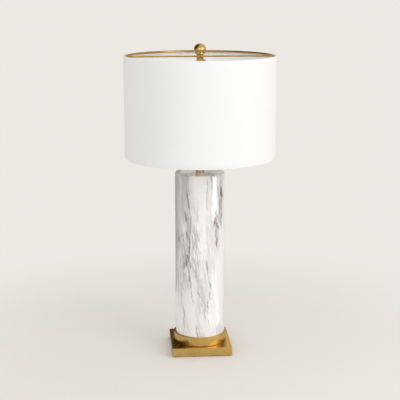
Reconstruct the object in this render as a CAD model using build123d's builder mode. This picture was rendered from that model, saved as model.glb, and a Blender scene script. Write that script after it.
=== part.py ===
from build123d import *

import os
from math import sqrt

# Table lamp: ceramic column on a square brass plate, drum shade on a harp, ball finial.
# Millimetres. The origin is on the table, on the lamp's axis. +Z is up, -Y is the front and +Y is the
# back, where the cord inlet is. The harp lies in the YZ plane and the switch knob points to +X.

# Base: felt, plate and the weight inside it
felt_thickness = 1.5
felt_inset = 2.5
felt_corner = 3.0
plate_side = 143.4
plate_height = 20.2
plate_wall = 4.5
plate_top = 4.5
plate_corner = 1.2
plate_bevel = 0.6
weight_gap = 1.0
weight_floor_gap = 3.2
weight_web = 4.0
nut_recess_diameter = 42.0

# Cord inlet in the plate's back wall
inlet_bore = 7.0
grommet_wall = 1.5
grommet_flange = 2.0
grommet_flange_thickness = 1.2
grommet_lip = 0.8
grommet_lip_thickness = 0.9
grommet_fit = 0.1
channel_clearance = 1.2

# Collar and the column that stands in it
collar_height = 22.4
collar_ledge = 4.0
collar_wall = 5.0
collar_web = 4.5
collar_bevel = 0.6
collar_foot_bevel = 1.2
seat_depth = 2.0
seat_clearance = 0.4
gasket_thickness = 1.0
gasket_inset = 0.5
column_diameter = 118.5
column_height = 395.7
column_wall = 6.5
column_top = 10.0
column_lip_radius = 2.5
column_inner_radius = 6.0
column_foot_bevel = 0.8

# Lamp pipe and what is tightened on its lower end
pipe_diameter = 9.8
pipe_bore = 6.6
pipe_clearance = 0.3
pipe_end_bevel = 0.6
pipe_foot = 0.8
thread_clearance = 0.1
washer_diameter = 34.0
washer_thickness = 1.6
lock_washer_diameter = 18.0
lock_washer_thickness = 1.0
lock_washer_teeth = 10
lock_tooth_length = 1.8
lock_tooth_width = 2.4
nut_across_flats = 15.9
nut_thickness = 4.0
nut_bevel = 0.5

# Neck and harp saddle
neck_diameter = 19.2
neck_height = 40.0
neck_bevel = 0.5
saddle_thickness = 2.0
saddle_width = 14.0
saddle_bend = 4.0
saddle_rise = 10.0
saddle_span = 74.0
saddle_corner = 2.0

# Harp: a bent wire, lapped on the saddle's posts, with a flattened pad at the top
harp_wire = 4.5
harp_width = 114.0
harp_height = 211.5
harp_leg = 46.0
harp_flare = 66.0
harp_foot_radius = 45.0
harp_flare_radius = 70.0
harp_shoulder_radius = 50.0
lap_length = 12.0
lap_gap = 0.3
pad_diameter = 12.0
pad_thickness = 3.4
sleeve_length = 15.0
sleeve_wall = 1.2
sleeve_clearance = 0.2
sleeve_bead = 0.6
sleeve_bead_length = 2.2

# Stud, riser and finial above the harp
stud_thread = 6.2
stud_length = 9.0
stud_bevel = 0.6
stud_flange_diameter = 10.0
stud_flange_thickness = 1.5
stud_shank = 4.0
stud_fit = 0.05
stud_rivet_diameter = 6.4
stud_rivet_height = 1.2
riser_diameter = 16.0
riser_height = 16.0
riser_bevel = 0.6
tapped_clearance = 0.15
tapped_spare = 1.5
finial_ball_diameter = 28.5
finial_foot_diameter = 15.6
finial_foot_height = 1.8
finial_thread_length = 10.0

# Shade
shade_diameter = 355.6
shade_height = 238.3
fabric_thickness = 0.8
liner_thickness = 0.5
hem_return = 9.0
hem_thickness = 0.6
glue_gap = 0.05
ring_wire = 5.0
bottom_ring_wire = 4.0
ring_drop = 0.5
arm_wire = 3.7
arm_angles = (0.0, 180.0, 270.0)
hub_diameter = 17.5
hub_thickness = 4.0
hub_clearance = 0.3

# Bulb with a medium screw base
bulb_length = 109.0
bulb_diameter = 60.0
bulb_wall = 1.2
bulb_dome_height = 40.0
bulb_cap_diameter = 26.0
bulb_cap_length = 20.0
bulb_cap_wall = 0.6
bulb_spigot = 4.0
bulb_fit = 0.1
bulb_contact_diameter = 9.0
bulb_contact_height = 1.5
bulb_insulator_height = 4.0

# Socket, from the bulb's cap outwards
screw_shell_clearance = 0.3
screw_shell_wall = 0.4
screw_shell_length = 24.0
screw_shell_hole = 14.0
liner_gap = 1.5
socket_liner_wall = 0.8
socket_liner_drop = 1.0
socket_fit = 0.2
socket_shell_wall = 0.6
socket_shell_rim = 3.0
socket_shell_overlap = 8.0
socket_bead = 1.0
socket_bead_height = 4.0
socket_bead_drop = 9.0
socket_bead_radius = 1.0
socket_cap_wall = 0.9
socket_cap_neck = 7.0
socket_cap_neck_radius = 1.5
socket_cap_cup = 19.0
socket_cap_radius = 5.0
terminal_block_diameter = 20.0
terminal_block_width = 18.0
terminal_block_height = 8.0
core_height = 19.0
core_clearance = 0.5
terminal_screw_diameter = 3.0
terminal_screw_length = 5.0
terminal_screw_fit = 0.05
terminal_head_diameter = 5.2
terminal_head_thickness = 1.6
contact_width = 5.0
contact_thickness = 0.5
contact_root = 6.0
contact_run = 2.5
contact_reach = 2.0
contact_rise = 3.6
contact_bend = 1.5
contact_gap = 0.3

# Turn-knob switch on the socket's side
switch_shaft_diameter = 3.2
switch_shaft_clearance = 0.15
switch_shaft_depth = 9.0
switch_slot_width = 7.0
switch_slot_margin = 1.0
knob_diameter = 13.0
knob_length = 15.0
knob_stand_off = 4.5
knob_flutes = 12
knob_flute_radius = 1.1
knob_bore_depth = 10.0
knob_bevel = 1.0
knob_fit = 0.05

# Levels and radii of the base and the column
plate_z = felt_thickness
plate_top_z = plate_z + plate_height
cavity_height = plate_height - plate_top
cavity_side = plate_side - 2 * plate_wall
weight_z = plate_z + weight_floor_gap
weight_thickness = cavity_height - weight_floor_gap
weight_side = cavity_side - 2 * weight_gap
nut_recess_depth = weight_thickness - weight_web
recess_z = weight_z + nut_recess_depth
column_radius = column_diameter / 2
column_bore_radius = column_radius - column_wall
seat_radius = column_radius + seat_clearance
collar_radius = seat_radius + collar_ledge
collar_top_z = plate_top_z + collar_height
gasket_z = collar_top_z - seat_depth
column_z = gasket_z + gasket_thickness
column_top_z = column_z + column_height
column_ceiling_z = column_top_z - column_top

# Stack under the base weight
pipe_radius = pipe_diameter / 2
pipe_hole_radius = pipe_radius + pipe_clearance
threaded_hole_radius = pipe_radius + thread_clearance
washer_z = recess_z - washer_thickness
lock_washer_z = washer_z - lock_washer_thickness
lock_ring_radius = lock_washer_diameter / 2 - lock_tooth_length
nut_z = lock_washer_z - nut_thickness
pipe_z = nut_z - pipe_foot

# Cord inlet, level with the middle of the channel in the weight
inlet_z = weight_z + nut_recess_depth / 2
grommet_radius = inlet_bore / 2 + grommet_wall
grommet_lip_radius = grommet_radius + grommet_lip
channel_width = 2 * (grommet_lip_radius + channel_clearance)
back_face = Plane.XZ.offset(-plate_side / 2)
back_wall_inside = Plane.XZ.offset(-cavity_side / 2)
grommet_face = Plane.XZ.offset(-plate_side / 2 - grommet_flange_thickness)
grommet_length = grommet_flange_thickness + plate_wall + grommet_lip_thickness

# Saddle and harp
saddle_z = column_top_z + neck_height
saddle_top_z = saddle_z + saddle_thickness
strip_z = saddle_z + saddle_thickness / 2
shoulder_z = saddle_z + saddle_rise
leg_y = saddle_span / 2
tab_y = leg_y - lap_gap / 2 - saddle_thickness / 2
wire_radius = harp_wire / 2
harp_top_z = saddle_z + harp_height
pad_z = harp_top_z - pad_thickness / 2
pad_top_z = harp_top_z + pad_thickness / 2
sleeve_bore_radius = wire_radius + sleeve_clearance
sleeve_radius = sleeve_bore_radius + sleeve_wall

# Riser, hub and finial
stud_z = pad_top_z + stud_flange_thickness
riser_top_z = stud_z + riser_height
hub_top_z = riser_top_z + hub_thickness
spider_z = riser_top_z + hub_thickness / 2
tapped_radius = stud_thread / 2 + tapped_clearance
finial_ball_radius = finial_ball_diameter / 2
finial_foot_radius = finial_foot_diameter / 2
ball_z = hub_top_z + finial_foot_height + sqrt(finial_ball_radius**2 - finial_foot_radius**2)

# Shade, hung from its top ring
shade_radius = shade_diameter / 2
shade_top_z = spider_z + ring_wire / 2 + ring_drop
shade_z = shade_top_z - shade_height
liner_radius = shade_radius - fabric_thickness - glue_gap
liner_z = shade_z + hem_thickness + glue_gap
liner_height = shade_height - 2 * (hem_thickness + glue_gap)
hem_inner_radius = liner_radius - liner_thickness - glue_gap - hem_thickness
ring_seat_radius = hem_inner_radius - glue_gap
ring_radius = ring_seat_radius - ring_wire / 2
bottom_ring_radius = ring_seat_radius - bottom_ring_wire / 2
bottom_ring_z = shade_z + ring_drop + bottom_ring_wire / 2

# Socket
cap_floor_z = saddle_top_z + socket_cap_neck
block_z = cap_floor_z + socket_cap_wall
terminal_z = block_z + terminal_block_height / 2
core_z = block_z + terminal_block_height
core_top_z = core_z + core_height
socket_cap_top_z = cap_floor_z + socket_cap_cup
screw_shell_bore_radius = bulb_cap_diameter / 2 + screw_shell_clearance
screw_shell_radius = screw_shell_bore_radius + screw_shell_wall
socket_liner_bore_radius = screw_shell_radius + liner_gap
socket_liner_radius = socket_liner_bore_radius + socket_liner_wall
socket_shell_bore_radius = socket_liner_radius + socket_fit
socket_shell_radius = socket_shell_bore_radius + socket_shell_wall
socket_cap_bore_radius = socket_shell_radius + socket_fit
socket_shell_z = socket_cap_top_z - socket_shell_overlap
socket_shell_top_z = core_top_z + screw_shell_length + socket_shell_rim
socket_liner_top_z = socket_shell_top_z - socket_liner_drop
socket_bead_z = socket_shell_top_z - socket_bead_drop
core_radius = socket_liner_bore_radius - core_clearance

# Bulb
bulb_z = core_top_z + contact_rise + contact_gap
insulator_z = bulb_z + bulb_contact_height
bulb_cap_z = insulator_z + bulb_insulator_height
housing_z = bulb_cap_z + bulb_cap_length
bulb_top_z = bulb_z + bulb_length
seam_z = bulb_top_z - bulb_dome_height
bulb_radius = bulb_diameter / 2
bulb_cap_radius = bulb_cap_diameter / 2
bulb_cap_bore_radius = bulb_cap_radius - bulb_cap_wall
bulb_centre_z = bulb_top_z - bulb_radius
seam_drop = bulb_centre_z - seam_z
seam_radius = sqrt(bulb_radius**2 - seam_drop**2)

# Switch
switch_z = socket_cap_top_z + switch_slot_width / 2 + switch_slot_margin
switch_hole_radius = switch_shaft_diameter / 2 + switch_shaft_clearance
shaft_x = core_radius - switch_shaft_depth
knob_x = socket_shell_radius + knob_stand_off
shaft_length = knob_x + knob_bore_depth - shaft_x
knob_radius = knob_diameter / 2

pieces = {}

# Felt pad glued under the plate's rim
with BuildPart() as felt_pad:
    with BuildSketch():
        RectangleRounded(plate_side - 2 * felt_inset, plate_side - 2 * felt_inset, felt_corner)
    extrude(amount=felt_thickness)
pieces["felt_pad"] = felt_pad

# Base plate: a square shell, open below, with the cord inlet through its back wall
with BuildPart() as base_plate:
    with BuildSketch(Plane.XY.offset(plate_z)):
        RectangleRounded(plate_side, plate_side, plate_corner)
    extrude(amount=plate_height)
    chamfer(base_plate.faces().sort_by(Axis.Z)[-1].edges(), plate_bevel)
    with BuildSketch(Plane.XY.offset(plate_z)):
        Rectangle(cavity_side, cavity_side)
    extrude(amount=cavity_height, mode=Mode.SUBTRACT)
    with Locations((0, 0, plate_top_z)):
        Hole(pipe_hole_radius, depth=plate_top)
    with BuildSketch(back_face):
        with Locations((0, inlet_z)):
            Circle(grommet_radius + grommet_fit)
    extrude(amount=plate_wall, mode=Mode.SUBTRACT)
pieces["base_plate"] = base_plate

# Cast weight, with a recess for the nut and a channel for the cord on its underside
with BuildPart() as base_weight:
    with BuildSketch(Plane.XY.offset(weight_z)):
        Rectangle(weight_side, weight_side)
    extrude(amount=weight_thickness)
    with BuildSketch(Plane.XY.offset(weight_z)):
        Circle(nut_recess_diameter / 2)
        with Locations((0, weight_side / 4)):
            Rectangle(channel_width, weight_side / 2)
    extrude(amount=nut_recess_depth, mode=Mode.SUBTRACT)
    with Locations((0, 0, recess_z)):
        Hole(pipe_hole_radius)
pieces["base_weight"] = base_weight

# Grommet that lines the cord inlet
with BuildPart() as cord_grommet:
    with BuildSketch(back_face):
        with Locations((0, inlet_z)):
            Circle(grommet_radius)
    extrude(amount=plate_wall)
    with BuildSketch(grommet_face):
        with Locations((0, inlet_z)):
            Circle(grommet_radius + grommet_flange)
    extrude(amount=grommet_flange_thickness)
    with BuildSketch(back_wall_inside):
        with Locations((0, inlet_z)):
            Circle(grommet_lip_radius)
    extrude(amount=grommet_lip_thickness)
    with BuildSketch(grommet_face):
        with Locations((0, inlet_z)):
            Circle(inlet_bore / 2)
    extrude(amount=grommet_length, mode=Mode.SUBTRACT)
pieces["cord_grommet"] = cord_grommet

# Collar: a turned ring with a shallow seat for the column and a hollow underside
with BuildPart() as column_collar:
    with BuildSketch(Plane.XY.offset(plate_top_z)):
        Circle(collar_radius)
    extrude(amount=collar_height)
    chamfer(column_collar.edges().group_by(Axis.Z)[-1], collar_bevel)
    chamfer(column_collar.edges().group_by(Axis.Z)[0], collar_foot_bevel)
    with BuildSketch(Plane.XY.offset(gasket_z)):
        Circle(seat_radius)
    extrude(amount=seat_depth, mode=Mode.SUBTRACT)
    with BuildSketch(Plane.XY.offset(plate_top_z)):
        Circle(collar_radius - collar_wall)
    extrude(amount=collar_height - seat_depth - collar_web, mode=Mode.SUBTRACT)
    with Locations((0, 0, gasket_z)):
        Hole(pipe_hole_radius)
pieces["column_collar"] = column_collar

# Gasket between the collar's seat and the column's foot
with BuildPart() as foot_gasket:
    with BuildSketch(Plane.XY.offset(gasket_z)):
        Circle(column_radius - gasket_inset)
        Circle(column_bore_radius + gasket_inset, mode=Mode.SUBTRACT)
    extrude(amount=gasket_thickness)
pieces["foot_gasket"] = foot_gasket

# Ceramic column: slip-cast tube with a closed, softly rounded top
with BuildPart() as ceramic_column:
    with BuildSketch(Plane.XY.offset(column_z)):
        Circle(column_radius)
    extrude(amount=column_height)
    fillet(ceramic_column.edges().group_by(Axis.Z)[-1], column_lip_radius)
    chamfer(ceramic_column.edges().group_by(Axis.Z)[0], column_foot_bevel)
    with BuildSketch(Plane.XY.offset(column_z)):
        Circle(column_bore_radius)
    extrude(amount=column_ceiling_z - column_z, mode=Mode.SUBTRACT)
    ceiling = ceramic_column.faces().filter_by(Axis.Z).sort_by(Axis.Z)[-2]
    fillet(ceiling.edges(), column_inner_radius)
    with Locations((0, 0, column_top_z)):
        Hole(pipe_hole_radius)
pieces["ceramic_column"] = ceramic_column

# Lamp pipe from the base's nut to the socket's cap
with BuildPart() as lamp_pipe:
    with BuildSketch(Plane.XY.offset(pipe_z)):
        Circle(pipe_radius)
    extrude(amount=cap_floor_z - pipe_z)
    chamfer(lamp_pipe.faces().filter_by(Axis.Z).edges(), pipe_end_bevel)
    with Locations((0, 0, cap_floor_z)):
        Hole(pipe_bore / 2)
pieces["lamp_pipe"] = lamp_pipe

# Flat washer under the weight
with BuildPart() as bottom_washer:
    with BuildSketch(Plane.XY.offset(washer_z)):
        Circle(washer_diameter / 2)
        Circle(pipe_hole_radius, mode=Mode.SUBTRACT)
    extrude(amount=washer_thickness)
pieces["bottom_washer"] = bottom_washer

# Toothed lock washer
with BuildPart() as lock_washer:
    with BuildSketch(Plane.XY.offset(lock_washer_z)):
        Circle(lock_ring_radius)
        with PolarLocations(lock_ring_radius, lock_washer_teeth):
            Rectangle(2 * lock_tooth_length, lock_tooth_width)
        Circle(pipe_hole_radius, mode=Mode.SUBTRACT)
    extrude(amount=lock_washer_thickness)
pieces["lock_washer"] = lock_washer

# Hex nut that clamps the base on the pipe
with BuildPart() as bottom_nut:
    with BuildSketch(Plane.XY.offset(nut_z)):
        RegularPolygon(nut_across_flats / 2, 6, major_radius=False)
    extrude(amount=nut_thickness)
    chamfer(bottom_nut.faces().filter_by(Axis.Z).edges(), nut_bevel)
    with Locations((0, 0, lock_washer_z)):
        Hole(threaded_hole_radius)
pieces["bottom_nut"] = bottom_nut

# Brass neck on the column's top
with BuildPart() as brass_neck:
    with BuildSketch(Plane.XY.offset(column_top_z)):
        Circle(neck_diameter / 2)
    extrude(amount=neck_height)
    chamfer(brass_neck.faces().filter_by(Axis.Z).edges(), neck_bevel)
    with Locations((0, 0, saddle_z)):
        Hole(pipe_hole_radius)
pieces["brass_neck"] = brass_neck

# Harp saddle: a bent strip with a half-round post at each end
with BuildPart() as harp_saddle:
    with BuildSketch(Plane.YZ):
        with BuildLine():
            FilletPolyline(
                (-tab_y, shoulder_z),
                (-tab_y, strip_z),
                (tab_y, strip_z),
                (tab_y, shoulder_z),
                radius=saddle_bend,
            )
        trace(line_width=saddle_thickness)
    extrude(amount=saddle_width / 2, both=True)
    fillet(harp_saddle.edges().group_by(Axis.Z)[-1].filter_by(Axis.Y), saddle_corner)
    with BuildSketch(Plane.XY.offset(shoulder_z)):
        with Locations((0, leg_y), (0, -leg_y)):
            Circle(wire_radius)
        Rectangle(saddle_width, saddle_span - lap_gap, mode=Mode.INTERSECT)
    extrude(amount=lap_length)
    with Locations((0, 0, saddle_top_z)):
        Hole(pipe_hole_radius)
pieces["harp_saddle"] = harp_saddle

# Harp: one bent wire whose ends lap the saddle's posts, flattened at the top for its stud
with BuildPart() as harp:
    with BuildLine(Plane.YZ):
        FilletPolyline(
            (leg_y, shoulder_z),
            (leg_y, shoulder_z + harp_leg),
            (harp_width / 2, shoulder_z + harp_leg + harp_flare),
            (harp_width / 2, harp_top_z),
            (-harp_width / 2, harp_top_z),
            (-harp_width / 2, shoulder_z + harp_leg + harp_flare),
            (-leg_y, shoulder_z + harp_leg),
            (-leg_y, shoulder_z),
            radius=(
                harp_foot_radius,
                harp_flare_radius,
                harp_shoulder_radius,
                harp_shoulder_radius,
                harp_flare_radius,
                harp_foot_radius,
            ),
        )
    with BuildSketch(Plane.XY.offset(shoulder_z)):
        with Locations((0, leg_y)):
            Circle(wire_radius)
    sweep()
    with BuildSketch(Plane.XY.offset(shoulder_z)):
        Rectangle(2 * harp_wire, saddle_span + lap_gap)
    extrude(amount=lap_length, mode=Mode.SUBTRACT)
    for pad_face_z, way in ((pad_top_z, 1), (pad_z, -1)):
        with BuildSketch(Plane.XY.offset(pad_face_z)):
            Circle(pad_diameter / 2)
        extrude(amount=way * harp_wire, mode=Mode.SUBTRACT)
    with BuildSketch(Plane.XY.offset(pad_z)):
        Circle(pad_diameter / 2)
    extrude(amount=pad_thickness)
    with Locations((0, 0, pad_top_z)):
        Hole(stud_shank / 2 + stud_fit, depth=pad_thickness)
pieces["harp"] = harp

# Ferrules that slide down over the laps
for side, way in (("front", -1), ("back", 1)):
    with BuildPart() as harp_sleeve:
        with BuildSketch(Plane.XY.offset(shoulder_z)):
            with Locations((0, way * leg_y)):
                Circle(sleeve_radius)
        extrude(amount=sleeve_length)
        for bead_z in (shoulder_z, shoulder_z + sleeve_length - sleeve_bead_length):
            with BuildSketch(Plane.XY.offset(bead_z)):
                with Locations((0, way * leg_y)):
                    Circle(sleeve_radius + sleeve_bead)
            extrude(amount=sleeve_bead_length)
        with Locations((0, way * leg_y, shoulder_z)):
            Hole(sleeve_bore_radius)
    pieces[f"harp_sleeve_{side}"] = harp_sleeve

# Threaded stud riveted through the harp's pad
with BuildPart() as harp_stud:
    with BuildSketch(Plane.XY.offset(pad_z)):
        Circle(stud_rivet_diameter / 2)
    extrude(amount=-stud_rivet_height)
    with BuildSketch(Plane.XY.offset(pad_z)):
        Circle(stud_shank / 2)
    extrude(amount=pad_thickness)
    with BuildSketch(Plane.XY.offset(pad_top_z)):
        Circle(stud_flange_diameter / 2)
    extrude(amount=stud_flange_thickness)
    with BuildSketch(Plane.XY.offset(stud_z)):
        Circle(stud_thread / 2)
    extrude(amount=stud_length)
    chamfer(harp_stud.edges().group_by(Axis.Z)[-1], stud_bevel)
pieces["harp_stud"] = harp_stud

# Riser that lifts the shade off the harp, tapped below and threaded above
with BuildPart() as shade_riser:
    with BuildSketch(Plane.XY.offset(stud_z)):
        Circle(riser_diameter / 2)
    extrude(amount=riser_height)
    chamfer(shade_riser.faces().filter_by(Axis.Z).edges(), riser_bevel)
    with BuildSketch(Plane.XY.offset(riser_top_z)):
        Circle(stud_thread / 2)
    extrude(amount=hub_thickness + finial_thread_length)
    chamfer(shade_riser.edges().group_by(Axis.Z)[-1], stud_bevel)
    with BuildSketch(Plane.XY.offset(stud_z)):
        Circle(tapped_radius)
    extrude(amount=stud_length + tapped_spare, mode=Mode.SUBTRACT)
pieces["shade_riser"] = shade_riser

# Ball finial with a short round foot and a blind tapped hole
with BuildPart() as ball_finial:
    with BuildSketch(Plane.XY.offset(hub_top_z)):
        Circle(finial_foot_radius)
    extrude(amount=ball_z - hub_top_z)
    with Locations((0, 0, ball_z)):
        Sphere(finial_ball_radius)
    split(bisect_by=Plane.XY.offset(hub_top_z), keep=Keep.TOP)
    with BuildSketch(Plane.XY.offset(hub_top_z)):
        Circle(tapped_radius)
    extrude(amount=finial_thread_length + tapped_spare, mode=Mode.SUBTRACT)
pieces["ball_finial"] = ball_finial

# Socket cap: a spun cup with a threaded neck
with BuildPart() as socket_cap:
    with BuildSketch(Plane.XZ):
        with BuildLine():
            neck_line = threaded_hole_radius + socket_cap_wall / 2
            cup_line = socket_cap_bore_radius + socket_cap_wall / 2
            floor_line = cap_floor_z + socket_cap_wall / 2
            FilletPolyline(
                (neck_line, saddle_top_z),
                (neck_line, floor_line),
                (cup_line, floor_line),
                (cup_line, socket_cap_top_z),
                radius=(socket_cap_neck_radius, socket_cap_radius),
            )
        trace(line_width=socket_cap_wall)
    revolve(axis=Axis.Z)
pieces["socket_cap"] = socket_cap

# Socket shell: a beaded tube with a slot for the switch shaft
with BuildPart() as socket_shell:
    with BuildSketch(Plane.XZ):
        with BuildLine():
            shell_line = socket_shell_bore_radius + socket_shell_wall / 2
            FilletPolyline(
                (shell_line, socket_shell_z),
                (shell_line, socket_bead_z - socket_bead_height / 2),
                (shell_line + socket_bead, socket_bead_z),
                (shell_line, socket_bead_z + socket_bead_height / 2),
                (shell_line, socket_shell_top_z),
                radius=socket_bead_radius,
            )
        trace(line_width=socket_shell_wall)
    revolve(axis=Axis.Z)
    with BuildSketch(Plane.YZ):
        with Locations((0, switch_z)):
            Circle(switch_slot_width / 2)
            Rectangle(switch_slot_width, switch_z - socket_shell_z, align=(Align.CENTER, Align.MAX))
    extrude(amount=socket_cap_bore_radius, mode=Mode.SUBTRACT)
pieces["socket_shell"] = socket_shell

# Fibre liner inside the shell
with BuildPart() as socket_liner:
    with BuildSketch(Plane.XY.offset(socket_shell_z)):
        Circle(socket_liner_radius)
        Circle(socket_liner_bore_radius, mode=Mode.SUBTRACT)
    extrude(amount=socket_liner_top_z - socket_shell_z)
    with BuildSketch(Plane.YZ):
        with Locations((0, switch_z)):
            Circle(switch_slot_width / 2)
            Rectangle(switch_slot_width, switch_z - socket_shell_z, align=(Align.CENTER, Align.MAX))
    extrude(amount=socket_cap_bore_radius, mode=Mode.SUBTRACT)
pieces["socket_liner"] = socket_liner

# Moulded core that holds the switch, on a terminal block with two flats
with BuildPart() as socket_core:
    with BuildSketch(Plane.XY.offset(block_z)):
        Circle(terminal_block_diameter / 2)
        Rectangle(terminal_block_diameter, terminal_block_width, mode=Mode.INTERSECT)
    extrude(amount=terminal_block_height)
    with BuildSketch(Plane.XY.offset(core_z)):
        Circle(core_radius)
    extrude(amount=core_height)
    with BuildSketch(Plane.YZ.offset(shaft_x)):
        with Locations((0, switch_z)):
            Circle(switch_hole_radius)
    extrude(amount=core_radius, mode=Mode.SUBTRACT)
    for way in (-1, 1):
        flat = Plane((0, way * terminal_block_width / 2, terminal_z), x_dir=(1, 0, 0), z_dir=(0, way, 0))
        with BuildSketch(flat):
            Circle(terminal_screw_diameter / 2 + terminal_screw_fit)
        extrude(amount=-terminal_screw_length, mode=Mode.SUBTRACT)
pieces["socket_core"] = socket_core

# Terminal screws on the block's flats
with BuildPart() as terminal_screws:
    for way in (-1, 1):
        flat = Plane((0, way * terminal_block_width / 2, terminal_z), x_dir=(1, 0, 0), z_dir=(0, way, 0))
        with BuildSketch(flat):
            Circle(terminal_screw_diameter / 2)
        extrude(amount=-terminal_screw_length)
        with BuildSketch(flat):
            Circle(terminal_head_diameter / 2)
        extrude(amount=terminal_head_thickness)
pieces["terminal_screws"] = terminal_screws

# Screw shell that takes the bulb's cap
with BuildPart() as screw_shell:
    with BuildSketch(Plane.XY.offset(core_top_z)):
        Circle(screw_shell_radius)
    extrude(amount=screw_shell_length)
    with BuildSketch(Plane.XY.offset(core_top_z + screw_shell_wall)):
        Circle(screw_shell_bore_radius)
    extrude(amount=screw_shell_length, mode=Mode.SUBTRACT)
    with Locations((0, 0, core_top_z)):
        Hole(screw_shell_hole / 2)
pieces["screw_shell"] = screw_shell

# Centre contact: a bent leaf on the core's top
with BuildPart() as centre_contact:
    with BuildSketch(Plane.XZ):
        with BuildLine():
            leaf_z = core_top_z + contact_thickness / 2
            FilletPolyline(
                (-contact_root, leaf_z),
                (-contact_root + contact_run, leaf_z),
                (contact_reach, core_top_z + contact_rise - contact_thickness / 2),
                radius=contact_bend,
            )
        trace(line_width=contact_thickness)
    extrude(amount=contact_width / 2, both=True)
pieces["centre_contact"] = centre_contact

# Switch shaft, from the core out through the shell's slot
with BuildPart() as switch_shaft:
    with BuildSketch(Plane.YZ.offset(shaft_x + switch_shaft_clearance)):
        with Locations((0, switch_z)):
            Circle(switch_shaft_diameter / 2)
    extrude(amount=shaft_length - switch_shaft_clearance)
pieces["switch_shaft"] = switch_shaft

# Fluted turn knob
with BuildPart() as switch_knob:
    with BuildSketch(Plane.YZ.offset(knob_x)):
        with Locations((0, switch_z)):
            Circle(knob_radius)
    extrude(amount=knob_length)
    chamfer(switch_knob.faces().filter_by(Axis.X).edges(), knob_bevel)
    with BuildSketch(Plane.YZ.offset(knob_x)):
        with Locations((0, switch_z)):
            with PolarLocations(knob_radius, knob_flutes):
                Circle(knob_flute_radius)
    extrude(amount=knob_length, mode=Mode.SUBTRACT)
    with BuildSketch(Plane.YZ.offset(knob_x)):
        with Locations((0, switch_z)):
            Circle(switch_shaft_diameter / 2 + knob_fit)
    extrude(amount=knob_bore_depth, mode=Mode.SUBTRACT)
pieces["switch_knob"] = switch_knob

# Bulb: tip contact, glass insulator, screw cap, housing and frosted dome
with BuildPart() as bulb_contact:
    with BuildSketch(Plane.XY.offset(bulb_z)):
        Circle(bulb_contact_diameter / 2)
    extrude(amount=bulb_contact_height)
pieces["bulb_contact"] = bulb_contact

with BuildPart() as bulb_insulator:
    with BuildSketch(Plane.XY.offset(insulator_z)):
        Circle(bulb_contact_diameter / 2)
    with BuildSketch(Plane.XY.offset(bulb_cap_z)):
        Circle(bulb_cap_radius)
    loft()
pieces["bulb_insulator"] = bulb_insulator

with BuildPart() as bulb_cap:
    with BuildSketch(Plane.XY.offset(bulb_cap_z)):
        Circle(bulb_cap_radius)
        Circle(bulb_cap_bore_radius, mode=Mode.SUBTRACT)
    extrude(amount=bulb_cap_length)
pieces["bulb_cap"] = bulb_cap

with BuildPart() as bulb_housing:
    with BuildSketch(Plane.XZ):
        with BuildLine():
            Polyline(
                (0, seam_z),
                (0, housing_z - bulb_spigot),
                (bulb_cap_bore_radius - bulb_fit, housing_z - bulb_spigot),
                (bulb_cap_bore_radius - bulb_fit, housing_z),
                (bulb_cap_radius, housing_z),
            )
            Spline(
                (bulb_cap_radius, housing_z),
                (seam_radius, seam_z),
                tangents=((0, 1), (seam_drop, seam_radius)),
            )
            Line((seam_radius, seam_z), (0, seam_z))
        make_face()
    revolve(axis=Axis.Z)
pieces["bulb_housing"] = bulb_housing

with BuildPart() as bulb_dome:
    with Locations((0, 0, bulb_centre_z)):
        Sphere(bulb_radius)
        Sphere(bulb_radius - bulb_wall, mode=Mode.SUBTRACT)
    split(bisect_by=Plane.XY.offset(seam_z), keep=Keep.TOP)
pieces["bulb_dome"] = bulb_dome

# Shade frame: two rings, and three arms welded between the top ring and the hub
with BuildPart() as shade_top_ring:
    with BuildSketch(Plane.XZ):
        with Locations((ring_radius, spider_z)):
            Circle(ring_wire / 2)
    revolve(axis=Axis.Z)
pieces["shade_top_ring"] = shade_top_ring

with BuildPart() as shade_bottom_ring:
    with BuildSketch(Plane.XZ):
        with Locations((bottom_ring_radius, bottom_ring_z)):
            Circle(bottom_ring_wire / 2)
    revolve(axis=Axis.Z)
pieces["shade_bottom_ring"] = shade_bottom_ring

with BuildPart() as spider_hub:
    with BuildSketch(Plane.XY.offset(riser_top_z)):
        Circle(hub_diameter / 2)
        Circle(stud_thread / 2 + hub_clearance, mode=Mode.SUBTRACT)
    extrude(amount=hub_thickness)
pieces["spider_hub"] = spider_hub

with BuildPart() as spider_arms:
    for angle in arm_angles:
        outward = Vector(1, 0, 0).rotate(Axis.Z, angle)
        with BuildSketch(Plane((0, 0, spider_z), x_dir=(0, 0, 1), z_dir=outward)):
            Circle(arm_wire / 2)
        extrude(amount=ring_radius)
    with BuildSketch(Plane.XY.offset(spider_z)):
        Circle(hub_diameter / 2)
    extrude(amount=arm_wire, both=True, mode=Mode.SUBTRACT)
    add(shade_top_ring.part, mode=Mode.SUBTRACT)
pieces["spider_arms"] = spider_arms

# Styrene liner and the fabric laminated on it, whose hems turn in over the liner's edges
with BuildPart() as shade_liner:
    with BuildSketch(Plane.XY.offset(liner_z)):
        Circle(liner_radius)
        Circle(liner_radius - liner_thickness, mode=Mode.SUBTRACT)
    extrude(amount=liner_height)
pieces["shade_liner"] = shade_liner

with BuildPart() as shade_fabric:
    with BuildSketch(Plane.XY.offset(shade_z)):
        Circle(shade_radius)
        Circle(shade_radius - fabric_thickness, mode=Mode.SUBTRACT)
    extrude(amount=shade_height)
    for edge_z, way in ((shade_z, 1), (shade_top_z, -1)):
        with BuildSketch(Plane.XY.offset(edge_z)):
            Circle(shade_radius)
            Circle(hem_inner_radius, mode=Mode.SUBTRACT)
        extrude(amount=way * hem_thickness)
        with BuildSketch(Plane.XY.offset(edge_z)):
            Circle(hem_inner_radius + hem_thickness)
            Circle(hem_inner_radius, mode=Mode.SUBTRACT)
        extrude(amount=way * hem_return)
pieces["shade_fabric"] = shade_fabric

os.makedirs("parts", exist_ok=True)
for name, piece in pieces.items():
    piece.part.label = name
    export_step(piece.part, f"parts/{name}.step")
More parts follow.
